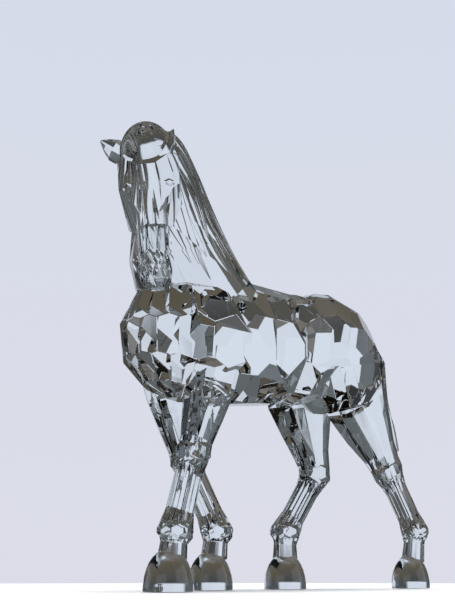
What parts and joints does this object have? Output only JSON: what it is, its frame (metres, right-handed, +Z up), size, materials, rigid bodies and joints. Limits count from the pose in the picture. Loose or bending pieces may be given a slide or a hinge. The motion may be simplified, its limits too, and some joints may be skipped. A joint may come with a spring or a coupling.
{
  "type": "crystal horse sculpture",
  "caption": "Walking horse cut from clear crystal in flat polished facets, head turned to its left, standing on its own hooves.",
  "frame": {"origin": "on the ground, below the middle of the whole horse's box", "axes": "+Z up, -Y the way the horse walks, +X the horse's left side"},
  "size_m": [0.0378, 0.1596, 0.1538],
  "materials": {
    "crystal": "polished, faceted, water-clear"
  },
  "bodies": {
    "root": {"crystal_horse": "crystal"}
  },
  "joints": []
}
